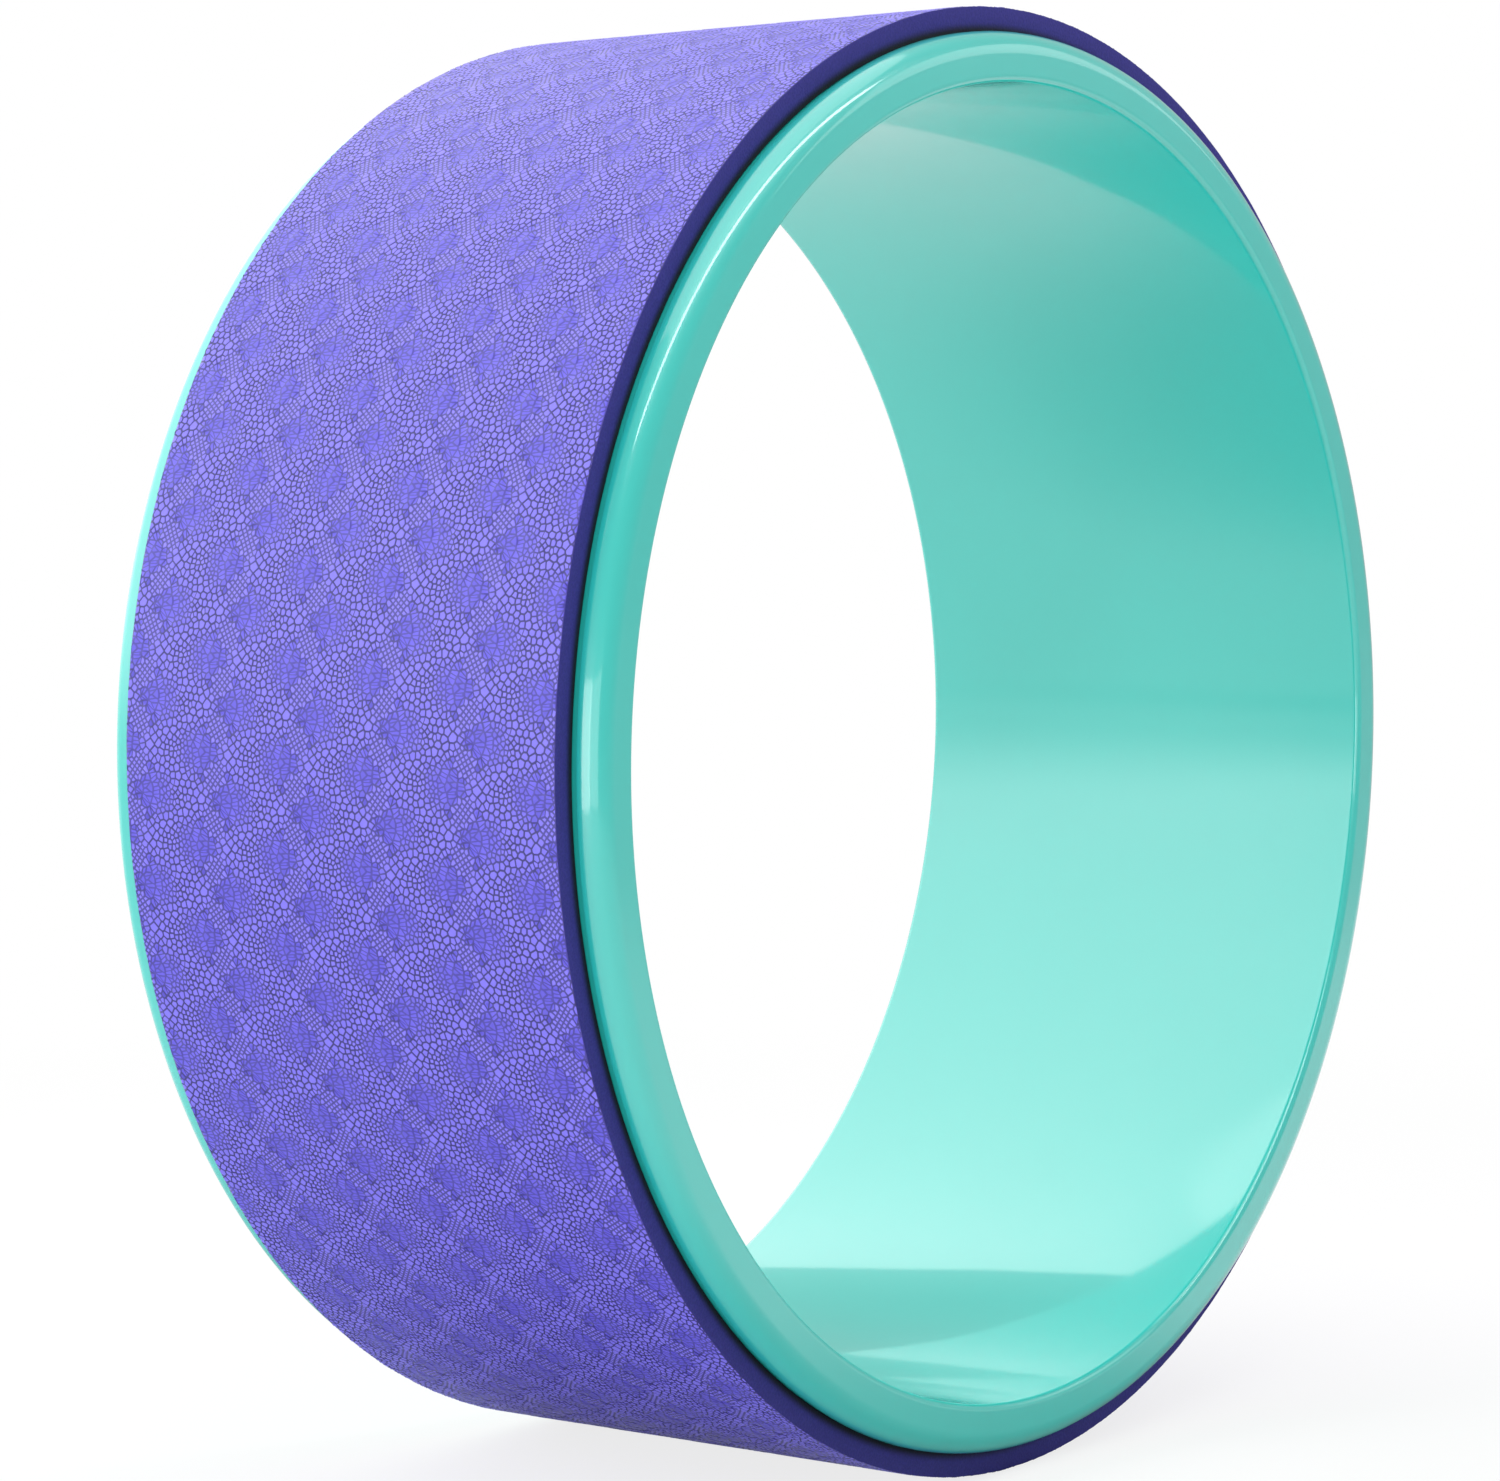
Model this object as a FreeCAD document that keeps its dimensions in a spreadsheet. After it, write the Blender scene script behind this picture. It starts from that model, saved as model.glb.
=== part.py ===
import FreeCAD, Part
import os
import Sketcher

# Yoga wheel: a hollow hoop of two glued plastic mouldings, with a foam pad wrapped round it.
# The wheel's axis is Y, the front rim faces -Y, +Z is up and the origin is the wheel's centre.
# Lengths are in millimetres. Each outline is drawn with X as the radius and Y along the axis.

SIZES = [
    ("bore_diameter", 296.0, "clear hole through the hoop"),
    ("wheel_width", 130.0, "over both rims"),
    ("shell_wall", 3.0, "bore wall and pad-seat wall"),
    ("cavity_depth", 4.8, "hollow between the two walls"),
    ("rim_wall", 3.0, "end wall of each rim"),
    ("rim_outer_round", 5.0, "roll of the front rim towards the pad"),
    ("rim_inner_round", 1.5, "edge of the bore"),
    ("rim_land", 0.7, "straight stretch of the front rim beside the pad"),
    ("rim_lip", 0.6, "step from the pad seat up to the front rim"),
    ("back_rim_round", 3.0, "outer edge of the back rim"),
    ("back_rim_lip", 4.2, "step from the pad seat up to the back rim"),
    ("rib_count", 36, "stiffening ribs in the hollow"),
    ("rib_thickness", 2.0, "along the circumference"),
    ("rib_clearance", 0.15, "from a rib to the other moulding"),
    ("tongue_thickness", 1.4, "tongue on the front end of the outer shell"),
    ("tongue_length", 2.0, "depth of that tongue in the front rim"),
    ("glue_gap", 0.2, "glue line in both shell joints"),
    ("glue_recess", 0.3, "from the back rim's face down to the glue"),
    ("adhesive_thickness", 0.2, "film under the pad"),
    ("adhesive_margin", 1.0, "from the pad's side in to the film"),
    ("foam_thickness", 5.2, "closed-cell foam of the pad"),
    ("skin_thickness", 0.8, "embossed top layer of the pad"),
    ("pad_side_gap", 0.8, "between the pad's side and the rim"),
    ("seam_gap", 0.4, "between the two ends of the pad strip"),
    ("seam_recess", 0.3, "from the tread down to the seam's glue"),
]

# Radii, from the bore outwards.
bore_radius = "(sizes.bore_diameter / 2)"
cavity_inner = f"({bore_radius} + sizes.shell_wall)"
cavity_outer = f"({cavity_inner} + sizes.cavity_depth)"
seat_radius = f"({cavity_outer} + sizes.shell_wall)"
rim_radius = f"({seat_radius} + sizes.rim_lip)"
back_rim_radius = f"({seat_radius} + sizes.back_rim_lip)"
foam_inner = f"({seat_radius} + sizes.adhesive_thickness)"
skin_inner = f"({foam_inner} + sizes.foam_thickness)"
tread_radius = f"({skin_inner} + sizes.skin_thickness)"
tongue_low = f"({cavity_outer} + (sizes.shell_wall - sizes.tongue_thickness) / 2)"
tongue_high = f"({tongue_low} + sizes.tongue_thickness)"
groove_low = f"({tongue_low} - sizes.glue_gap)"
groove_high = f"({tongue_high} + sizes.glue_gap)"
sleeve_radius = f"({cavity_inner} + sizes.glue_gap)"
rib_root = f"({bore_radius} + sizes.shell_wall / 2)"
rib_top = f"({cavity_outer} - sizes.rib_clearance)"
seam_top = f"({tread_radius} - sizes.seam_recess)"

# Distances from the middle of the wheel along its axis.
half_width = "(sizes.wheel_width / 2)"
cavity_end = f"({half_width} - sizes.rim_wall)"
rim_inside = f"({half_width} - sizes.rim_outer_round - sizes.rim_land)"
pad_side = f"({rim_inside} - sizes.pad_side_gap)"
film_side = f"({pad_side} - sizes.adhesive_margin)"
tongue_tip = f"({rim_inside} + sizes.tongue_length)"
groove_floor = f"({tongue_tip} + sizes.glue_gap)"
rib_end = f"({cavity_end} - sizes.rib_clearance)"
glue_face = f"({half_width} - sizes.glue_recess)"
half_seam = "(sizes.seam_gap / 2)"

FULL_TURN = 360

doc = FreeCAD.newDocument("yoga_wheel")
sheet = doc.addObject("Spreadsheet::Sheet", "sizes")
for row, (alias, value, meaning) in enumerate(SIZES, start=1):
    sheet.set(f"A{row}", alias)
    sheet.set(f"B{row}", str(value))
    sheet.setAlias(f"B{row}", alias)
    sheet.set(f"C{row}", meaning)
doc.recompute()


def amount(expression):
    """The number that an expression of the sheet's sizes comes to."""
    return float(sheet.evalExpression(expression))


def new_body(name):
    body = doc.addObject("PartDesign::Body", name)
    body.Label = name
    return body


def origin_feature(body, role):
    """One of a body's own origin planes or axes."""
    return next(feature for feature in body.Origin.OriginFeatures if feature.Role == role)


def tie(sketch, kind, corner, expression):
    """Hold a corner at a distance from the sketch's origin that follows the sheet."""
    value = amount(expression)
    if value < 0:
        constraint = Sketcher.Constraint(kind, corner, 1, -1, 1, -value)
        expression = expression.removeprefix("-")
    else:
        constraint = Sketcher.Constraint(kind, -1, 1, corner, 1, value)
    index = sketch.addConstraint(constraint)
    sketch.setExpression(f"Constraints[{index}]", expression)


def outline(body, name, corners, plane="XY_Plane"):
    """A closed outline of straight lines, with each corner given as two expressions."""
    sketch = body.newObject("Sketcher::SketchObject", name)
    sketch.AttachmentSupport = [(origin_feature(body, plane), "")]
    sketch.MapMode = "FlatFace"
    points = [FreeCAD.Vector(amount(across), amount(along), 0) for across, along in corners]
    following = points[1:] + points[:1]
    for start, end in zip(points, following):
        sketch.addGeometry(Part.LineSegment(start, end), False)
    for line in range(len(points)):
        next_line = (line + 1) % len(points)
        sketch.addConstraint(Sketcher.Constraint("Coincident", line, 2, next_line, 1))
    for corner, (across, along) in enumerate(corners):
        tie(sketch, "DistanceX", corner, across)
        tie(sketch, "DistanceY", corner, along)
    return sketch


def rectangle(inner, outer, first, last):
    return [(inner, first), (outer, first), (outer, last), (inner, last)]


def turned(body, name, corners):
    """A ring whose section is the outline."""
    ring = body.newObject("PartDesign::Revolution", name)
    ring.Profile = outline(body, f"{name}_outline", corners)
    ring.ReferenceAxis = (origin_feature(body, "Y_Axis"), [""])
    ring.Angle = FULL_TURN
    doc.recompute()
    return ring


def edge_at(feature, radius, along):
    """The name of the circular edge nearest to that radius and that place along the axis."""
    wanted = FreeCAD.Vector(amount(radius), amount(along), 0)
    circles = {}
    for number, edge in enumerate(feature.Shape.Edges, start=1):
        if isinstance(edge.Curve, Part.Circle):
            found = FreeCAD.Vector(edge.Curve.Radius, edge.Curve.Center.y, 0)
            circles[f"Edge{number}"] = found.distanceToPoint(wanted)
    return min(circles, key=circles.get)


def rounded(body, name, base, radius, edges):
    """Round some circular edges, each given as a radius and a place along the axis."""
    fillet = body.newObject("PartDesign::Fillet", name)
    fillet.Base = (base, [edge_at(base, *edge) for edge in edges])
    fillet.setExpression("Radius", radius)
    doc.recompute()
    return fillet


def make_inner_shell():
    """Bore wall, front rim with its joint groove, and the ribs that stand in the hollow."""
    body = new_body("inner_shell")
    corners = [
        (bore_radius, f"-{half_width}"),
        (rim_radius, f"-{half_width}"),
        (rim_radius, f"-{rim_inside}"),
        (groove_high, f"-{rim_inside}"),
        (groove_high, f"-{groove_floor}"),
        (groove_low, f"-{groove_floor}"),
        (groove_low, f"-{rim_inside}"),
        (cavity_outer, f"-{rim_inside}"),
        (cavity_outer, f"-{cavity_end}"),
        (cavity_inner, f"-{cavity_end}"),
        (cavity_inner, half_width),
        (bore_radius, half_width),
    ]
    ring = turned(body, "bore_and_front_rim", corners)
    rim_edges = [(rim_radius, f"-{half_width}")]
    rolled = rounded(body, "front_rim_roll", ring, "sizes.rim_outer_round", rim_edges)
    bore_edges = [(bore_radius, f"-{half_width}"), (bore_radius, half_width)]
    rounded(body, "bore_edges", rolled, "sizes.rim_inner_round", bore_edges)

    rib = body.newObject("PartDesign::Pad", "rib")
    rib.Profile = outline(body, "rib_outline", rectangle(rib_root, rib_top, f"-{cavity_end}", rib_end))
    rib.SideType = "Symmetric"
    rib.setExpression("Length", "sizes.rib_thickness")
    doc.recompute()
    ribs = body.newObject("PartDesign::PolarPattern", "ribs")
    ribs.Originals = [rib]
    ribs.Axis = (origin_feature(body, "Y_Axis"), [""])
    ribs.Angle = FULL_TURN
    ribs.setExpression("Occurrences", "sizes.rib_count")
    body.Tip = ribs
    return body


def make_outer_shell():
    """Pad-seat wall with its front tongue, and the taller back rim with the hole for the bore wall."""
    body = new_body("outer_shell")
    corners = [
        (cavity_outer, f"-{rim_inside}"),
        (tongue_low, f"-{rim_inside}"),
        (tongue_low, f"-{tongue_tip}"),
        (tongue_high, f"-{tongue_tip}"),
        (tongue_high, f"-{rim_inside}"),
        (seat_radius, f"-{rim_inside}"),
        (seat_radius, rim_inside),
        (back_rim_radius, rim_inside),
        (back_rim_radius, half_width),
        (sleeve_radius, half_width),
        (sleeve_radius, cavity_end),
        (cavity_outer, cavity_end),
    ]
    ring = turned(body, "seat_and_back_rim", corners)
    rim_edges = [(back_rim_radius, half_width)]
    rounded(body, "back_rim_edge", ring, "sizes.back_rim_round", rim_edges)
    return body


def make_front_joint_glue():
    """Glue all round the tongue, down to the floor of the groove."""
    body = new_body("front_joint_glue")
    corners = [
        (groove_low, f"-{rim_inside}"),
        (groove_low, f"-{groove_floor}"),
        (groove_high, f"-{groove_floor}"),
        (groove_high, f"-{rim_inside}"),
        (tongue_high, f"-{rim_inside}"),
        (tongue_high, f"-{tongue_tip}"),
        (tongue_low, f"-{tongue_tip}"),
        (tongue_low, f"-{rim_inside}"),
    ]
    turned(body, "glue_channel", corners)
    return body


def make_back_joint_glue():
    """Glue between the end of the bore wall and the hole in the back rim."""
    body = new_body("back_joint_glue")
    turned(body, "glue_sleeve", rectangle(cavity_inner, sleeve_radius, cavity_end, glue_face))
    return body


def make_pad_adhesive():
    body = new_body("pad_adhesive")
    turned(body, "film", rectangle(seat_radius, foam_inner, f"-{film_side}", film_side))
    return body


def make_pad_layer(name, inner, outer):
    """One layer of the pad strip: a ring cut open at +X, where the strip's ends meet."""
    body = new_body(name)
    ring = turned(body, "layer", rectangle(inner, outer, f"-{pad_side}", pad_side))
    whole = ring.Shape.Volume
    cut = body.newObject("PartDesign::Pocket", "strip_ends")
    # The slot runs from the bore to just past the tread, so it opens the layer on the +X side only.
    past_tread = f"({tread_radius} + sizes.seam_gap)"
    slot = rectangle(bore_radius, past_tread, f"-{half_seam}", half_seam)
    cut.Profile = outline(body, "slot_outline", slot, "XZ_Plane")
    cut.SideType = "Symmetric"
    cut.setExpression("Length", "sizes.wheel_width")
    doc.recompute()
    if cut.Shape.Volume >= whole:
        raise RuntimeError(f"the slot in {name} cuts nothing")
    return body


def make_pad_seam_glue():
    """Bead between the two ends of the pad strip, a little below the tread."""
    body = new_body("pad_seam_glue")
    bead = body.newObject("PartDesign::Pad", "bead")
    section = rectangle(foam_inner, seam_top, f"-{half_seam}", half_seam)
    bead.Profile = outline(body, "bead_outline", section, "XZ_Plane")
    bead.SideType = "Symmetric"
    bead.setExpression("Length", f"2 * {pad_side}")
    return body


pieces = [
    make_inner_shell(),
    make_outer_shell(),
    make_front_joint_glue(),
    make_back_joint_glue(),
    make_pad_adhesive(),
    make_pad_layer("pad_foam", foam_inner, skin_inner),
    make_pad_layer("pad_skin", skin_inner, tread_radius),
    make_pad_seam_glue(),
]
doc.recompute()

for item in doc.Objects:
    if "Invalid" in item.State or "Error" in item.State:
        raise RuntimeError(f"{item.Label} failed: {item.State}")
os.makedirs("parts", exist_ok=True)
for piece in pieces:
    if piece.Shape.isNull() or not piece.Shape.isValid() or len(piece.Shape.Solids) != 1:
        raise RuntimeError(f"{piece.Label} is not one sound solid")
for piece in pieces:
    piece.Shape.exportStep(f"parts/{piece.Label}.step")
    box = piece.Shape.optimalBoundingBox()
    extent = f"{box.XLength:.2f} x {box.YLength:.2f} x {box.ZLength:.2f} mm"
    print(f"{piece.Label}: {piece.Shape.Volume:.0f} mm3, {extent}")
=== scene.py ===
"""Looks of a yoga wheel: a glossy two-shell hoop with an embossed foam pad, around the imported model.

Lengths are in millimetres and become metres when a mesh is made. Materials and lamps are in metres.
Colours are linear. The wheel's axis is Y, its front rim is at -Y and the pad's seam is at +X.
"""

import math
import random

import bpy
import numpy as np
from mathutils import Matrix, Vector
from mathutils.geometry import delaunay_2d_cdt


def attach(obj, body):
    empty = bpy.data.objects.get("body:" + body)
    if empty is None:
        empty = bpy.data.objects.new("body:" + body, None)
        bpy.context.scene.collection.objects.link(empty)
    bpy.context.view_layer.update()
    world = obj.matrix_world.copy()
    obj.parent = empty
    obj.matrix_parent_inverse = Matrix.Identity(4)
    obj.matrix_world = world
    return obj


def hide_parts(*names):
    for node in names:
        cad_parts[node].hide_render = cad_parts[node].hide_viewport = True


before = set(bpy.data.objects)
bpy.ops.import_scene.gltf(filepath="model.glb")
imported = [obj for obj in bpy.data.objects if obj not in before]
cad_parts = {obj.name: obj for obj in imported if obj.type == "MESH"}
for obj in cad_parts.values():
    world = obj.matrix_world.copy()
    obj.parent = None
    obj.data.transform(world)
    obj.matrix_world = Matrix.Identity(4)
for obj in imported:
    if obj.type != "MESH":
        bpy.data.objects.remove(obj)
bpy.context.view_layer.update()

MM = 0.001
FULL_TURN = 2 * math.pi


def reach(node):
    """Lowest and highest radius, then lowest and highest place along the axis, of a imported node."""
    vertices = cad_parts[node].data.vertices
    places = np.empty(len(vertices) * 3)
    vertices.foreach_get("co", places)
    places = np.round(places.reshape(-1, 3) / MM, 3)
    radius = np.round(np.hypot(places[:, 0], places[:, 2]), 2)
    return radius.min(), radius.max(), places[:, 1].min(), places[:, 1].max()


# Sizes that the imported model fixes
bore_radius, rim_radius, front_face, back_face = reach("inner_shell")
back_rim_radius = reach("outer_shell")[1]
wall_outside, sleeve_radius, hollow_end, _ = reach("back_joint_glue")
groove_low, groove_high, groove_floor, rim_inside = reach("front_joint_glue")
seat_radius, foam_inner, _, _ = reach("pad_adhesive")
skin_inner, tread_radius, pad_front, pad_back = reach("pad_skin")
glue_gap = sleeve_radius - wall_outside
seat_inside = groove_low + groove_high - seat_radius
tongue_low = groove_low + glue_gap
tongue_high = groove_high - glue_gap
tongue_tip = groove_floor + glue_gap
strip_length = FULL_TURN * tread_radius
skin_thickness = tread_radius - skin_inner

# Finish of the mouldings
RIM_LAND = 0.7
RIM_ROLL = back_face + rim_inside - RIM_LAND
BACK_RIM_ROUND = 3.0
BORE_EDGE_ROUND = 1.5
BROKEN_EDGE = 0.25
RIB_COUNT = 36
RIB_THICKNESS = 2.0
RIB_CLEARANCE = 0.15
RIB_SINK = 0.05

# Fineness of the meshes. A long straight run has a short piece at each end, so that it shades flat.
HOOP_SEGMENTS = 320
ARC_STEP = math.radians(6)
LONGEST_RUN = 18.0
RUN_END = 0.3
SHORTEST_SPLIT = 4 * RUN_END
STRAIGHT = math.pi - 1e-6
SHARP_EDGE = math.radians(40)
# Faces of a box whose corners run over two radii, two sides and two places along the axis
BOX_FACES = np.array([
    [0, 2, 3, 1], [4, 5, 7, 6], [0, 1, 5, 4], [2, 6, 7, 3], [0, 4, 6, 2], [1, 3, 7, 5],
])

# The pad strip
SEAM_GAP = 0.4
PAD_SEGMENTS = 720
FOAM_SEED = 11
FOAM_SIDE_ROWS = 8
FOAM_SIDE_ROUGHNESS = 0.05
FOAM_UNDERCUT = 0.5

# The camera, from a fit to the wheel's outlines, and the wheel's centre as the camera sees it
IMAGE_WIDTH = 1500
FOCAL_PIXELS = 4304.8
SENSOR_WIDTH = 36.0
CLIP_START = 10.0
CAMERA_AZIMUTH = math.radians(-53.32)
CAMERA_PITCH = math.radians(2.65)
CENTRE_RIGHT, CENTRE_DOWN, CENTRE_AHEAD = 13.40, -0.855, 1008.4


def link_object(name, data):
    """Object of a mesh, a lamp or a camera, in the scene."""
    made = bpy.data.objects.new(name, data)
    bpy.context.scene.collection.objects.link(made)
    return made


def mesh_from_arrays(name, vertices, corners, counts):
    """Mesh from vertex places, the faces' corners in one row and the number of corners of each face."""
    mesh = bpy.data.meshes.new(name)
    mesh.vertices.add(len(vertices))
    mesh.vertices.foreach_set("co", (np.asarray(vertices) * MM).astype(np.float32).ravel())
    mesh.loops.add(len(corners))
    mesh.loops.foreach_set("vertex_index", np.asarray(corners, np.int32))
    mesh.polygons.add(len(counts))
    starts = np.concatenate([[0], np.cumsum(counts)[:-1]])
    mesh.polygons.foreach_set("loop_start", starts.astype(np.int32))
    mesh.polygons.foreach_set("loop_total", np.asarray(counts, np.int32))
    mesh.update(calc_edges=True)
    return mesh


def add_layer(mesh, name, values):
    """Value at each vertex, for a material to read."""
    layer = mesh.attributes.new(name, "FLOAT", "POINT")
    layer.data.foreach_set("value", values.astype(np.float32))


def smooth_object(name, mesh):
    """Object with smooth shading and sharp edges."""
    mesh.shade_smooth()
    mesh.set_sharp_from_angle(angle=SHARP_EDGE)
    return link_object(name, mesh)


def rounded_corner(here, before, after, size):
    """Points of the arc that rounds a corner, from the directions to its neighbours."""
    opening = math.acos(np.clip(before @ after, -1, 1))
    if size == 0 or opening > STRAIGHT:
        return [here]
    inward = (before + after) / np.hypot(*(before + after))
    centre = here + inward * size / math.sin(opening / 2)
    start = here + before * size / math.tan(opening / 2) - centre
    turn = math.pi - opening
    side = np.sign(before[0] * after[1] - before[1] * after[0])
    steps = max(2, math.ceil(turn / ARC_STEP))
    arc = []
    for step in range(steps + 1):
        angle = -side * turn * step / steps
        cosine, sine = math.cos(angle), math.sin(angle)
        arc.append(centre + [cosine * start[0] - sine * start[1], sine * start[0] + cosine * start[1]])
    return arc


def rounded_outline(corners):
    """Closed outline of (radius, place) points through (radius, place, round) corners."""
    stretches = []
    for index, (radius, place, size) in enumerate(corners):
        here = np.array([radius, place])
        before = np.array(corners[index - 1][:2]) - here
        after = np.array(corners[(index + 1) % len(corners)][:2]) - here
        stretches.append(rounded_corner(here, before / np.hypot(*before), after / np.hypot(*after), size))
    points = []
    for stretch, following in zip(stretches, stretches[1:] + stretches[:1]):
        points.extend(stretch)
        run = following[0] - stretch[-1]
        length = np.hypot(*run)
        if length < SHORTEST_SPLIT:
            continue
        pieces = math.ceil((length - 2 * RUN_END) / LONGEST_RUN)
        shares = RUN_END / length + np.arange(pieces + 1) / pieces * (1 - 2 * RUN_END / length)
        points.extend(stretch[-1] + share * run for share in shares)
    return np.array(points)


def round_axis(angles, radius, place):
    """Points at angles round the axis, from one row of radii and a row of places for each angle."""
    return np.stack([
        np.cos(angles)[:, None] * radius,
        place,
        np.sin(angles)[:, None] * radius,
    ], axis=-1).reshape(-1, 3)


def ring_quads(rings, count, closed):
    """Faces between neighbouring rings of count points, and from the last ring to the first if closed."""
    steps = rings if closed else rings - 1
    ring, point = np.meshgrid(np.arange(steps), np.arange(count), indexing="ij")
    next_ring, next_point = (ring + 1) % rings, (point + 1) % count
    return np.stack([
        ring * count + point,
        ring * count + next_point,
        next_ring * count + next_point,
        next_ring * count + point,
    ], axis=-1).reshape(-1, 4)


def turned(name, outline, segments, boxes=()):
    """Ring of a closed (radius, place) outline about the axis, with boxes of eight corners joined to it."""
    area = np.sum(outline[:, 0] * np.roll(outline[:, 1], -1) - np.roll(outline[:, 0], -1) * outline[:, 1])
    if area < 0:
        outline = outline[::-1]
    angles = np.arange(segments) / segments * FULL_TURN
    vertices = round_axis(angles, outline[:, 0], np.tile(outline[:, 1], (segments, 1)))
    quads = ring_quads(segments, len(outline), closed=True)
    for box in boxes:
        quads = np.vstack([quads, BOX_FACES + len(vertices)])
        vertices = np.vstack([vertices, box])
    return smooth_object(name, mesh_from_arrays(name, vertices, quads.ravel(), np.full(len(quads), 4)))


def rib_boxes():
    """Corners of the stiffening ribs that stand on the bore wall, inside the hollow."""
    boxes = []
    for number in range(RIB_COUNT):
        angle = number / RIB_COUNT * FULL_TURN
        outward = np.array([math.cos(angle), 0, math.sin(angle)])
        sideways = np.array([-math.sin(angle), 0, math.cos(angle)])
        boxes.append([
            radius * outward + side * sideways + [0, place, 0]
            for radius in (wall_outside - RIB_SINK, seat_inside - RIB_CLEARANCE)
            for side in (-RIB_THICKNESS / 2, RIB_THICKNESS / 2)
            for place in (-hollow_end, hollow_end - RIB_CLEARANCE)
        ])
    return boxes


def make_inner_shell():
    """Bore wall and front rim, with the groove for the other moulding's tongue and the ribs."""
    corners = [
        (bore_radius, front_face, BORE_EDGE_ROUND),
        (rim_radius, front_face, RIM_ROLL),
        (rim_radius, rim_inside, BROKEN_EDGE),
        (groove_high, rim_inside, 0),
        (groove_high, groove_floor, 0),
        (groove_low, groove_floor, 0),
        (groove_low, rim_inside, 0),
        (seat_inside, rim_inside, 0),
        (seat_inside, -hollow_end, 0),
        (wall_outside, -hollow_end, 0),
        (wall_outside, back_face, BROKEN_EDGE),
        (bore_radius, back_face, BORE_EDGE_ROUND),
    ]
    return turned("inner_shell_moulding", rounded_outline(corners), HOOP_SEGMENTS, rib_boxes())


def make_outer_shell():
    """Wall under the pad, its front tongue, and the back rim round the end of the bore wall."""
    corners = [
        (seat_inside, rim_inside, 0),
        (tongue_low, rim_inside, 0),
        (tongue_low, tongue_tip, 0),
        (tongue_high, tongue_tip, 0),
        (tongue_high, rim_inside, 0),
        (seat_radius, rim_inside, 0),
        (seat_radius, -rim_inside, 0),
        (back_rim_radius, -rim_inside, BROKEN_EDGE),
        (back_rim_radius, back_face, BACK_RIM_ROUND),
        (sleeve_radius, back_face, BROKEN_EDGE),
        (sleeve_radius, hollow_end, 0),
        (seat_inside, hollow_end, 0),
    ]
    return turned("outer_shell_moulding", rounded_outline(corners), HOOP_SEGMENTS)


def make_foam():
    """Foam strip, wrapped round the hoop with its ends at the seam, and with cut sides."""
    draw = np.random.default_rng(FOAM_SEED)
    half_seam = SEAM_GAP / 2 / foam_inner
    angles = np.linspace(half_seam, FULL_TURN - half_seam, PAD_SEGMENTS + 1)
    rows = np.linspace(foam_inner, skin_inner, FOAM_SIDE_ROWS + 1)
    radius = np.concatenate([rows, rows[::-1]])
    count = len(radius)
    place = np.tile(np.repeat([pad_front, pad_back], len(rows)), (len(angles), 1))
    inner_rows = (radius > foam_inner) & (radius < skin_inner)
    hollows = draw.uniform(0, FOAM_SIDE_ROUGHNESS, place.shape) * inner_rows
    depth = (skin_inner - radius) / (skin_inner - foam_inner)
    place = place - np.sign(place) * (hollows + FOAM_UNDERCUT * depth ** 2)
    quads = ring_quads(len(angles), count, closed=False)
    first_end = np.arange(count)[::-1]
    last_end = PAD_SEGMENTS * count + np.arange(count)
    corners = np.concatenate([quads.ravel(), first_end, last_end])
    counts = np.concatenate([np.full(len(quads), 4), [count, count]])
    mesh = mesh_from_arrays("pad_foam_strip", round_axis(angles, radius, place), corners, counts)
    # The foam's material paints shade by this depth, darkest next to the hoop.
    add_layer(mesh, "depth", np.tile(depth, len(angles)))
    return smooth_object("pad_foam_strip", mesh)


# The emboss repeats on a lattice. p runs along the axis to the front rim, q round the wheel.
# One corner of the lattice lies a little off the middle of the strip, which is at -X.
REPEAT = np.array([22.6, 19.8])
NEIGHBOURS = np.array(list(np.ndindex(3, 3))) - 1
LATTICE_TURN = math.radians(4.3)
LATTICE_ORIGIN = np.array([9.9, strip_length / 2 - 8.4])
EMBOSS_SEED = 4

# Two large cells in each repeat, and bands of smaller ones from the second to copies of the first
NODE_A = np.array([0.0, 0.0])
NODE_B = np.array([6.9, 9.9])
NODE_ROOM = 2.7
BAND_RUNS = ((NODE_B, REPEAT * (1, 0)), (NODE_B, REPEAT))
BAND_FIRST = 0.9
BAND_FADE = (0.5, 3.0)
BAND_ROOM, FINE_ROOM = 1.4, 0.85
FILL_TRIES = 6000

# Two lens-shaped bundles of small cells, which mirror each other
LENS_SIDES = (1, -1)
LENS_LENGTH, LENS_WIDTH = 9.6, 5.0
LENS_PITCH, LENS_ROOM = 1.0, 0.8
LENS_INSIDE = 0.1

# Fans of long cells. A row is its distance from the apex and its number of cells.
FAN_APEX = np.array([2.7, 0.0])
FAN_SPREAD = math.radians(75)
FAN_ROWS = ((1.4, 9), (4.1, 17), (7.0, 23))
FAN_ROW_VARIES = 0.35
FAN_STEP_VARIES = 0.2
FAN_ROOM = 0.4
FAN_REACH = 8.0
FAN_LENS_GAP = 0.25
FAN_STRETCH = np.array([0.55, 1.15])
FAN_FADE = (2.8, 8.6)
FAN_LIP = 0.9
BLADE_ANGLES = (math.radians(25), math.radians(55))

# Looks of cells: depth of the top and of the grooves round it, how pale it is, and painted shade in the
# grooves
PALE = 2
PALE_VARIES = 0.08
NODE_LOOK = np.array([0.0, 0.24, 1.0, 1.0])
CELL_LOOK = np.array([0.02, 0.22, 0.95, 1.0])
FAN_LOOK = np.array([0.05, 0.16, 0.2, 0.65])
BLADE_LOOK = np.array([0.08, 0.26, 0.0, 1.0])
LENS_LOOK = np.array([0.02, 0.20, 1.0, 0.85])
PLATEAU_LEAST = 0.5
PLATEAU_SLOPE = 0.26

# Corners of cells merge if they round to the same thousandth of a millimetre. A corner that is nearer than
# the tolerance to the strip's border lies on it.
MERGE_STEPS = 1000
BORDER_TOLERANCE = 6e-4
TRIANGLE_TOLERANCE = 1e-7

# Kinds of faces on the skin
SLOPE, PLATEAU, FRONT_WALL, BACK_WALL, END_WALL, UNDERSIDE = range(6)

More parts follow.
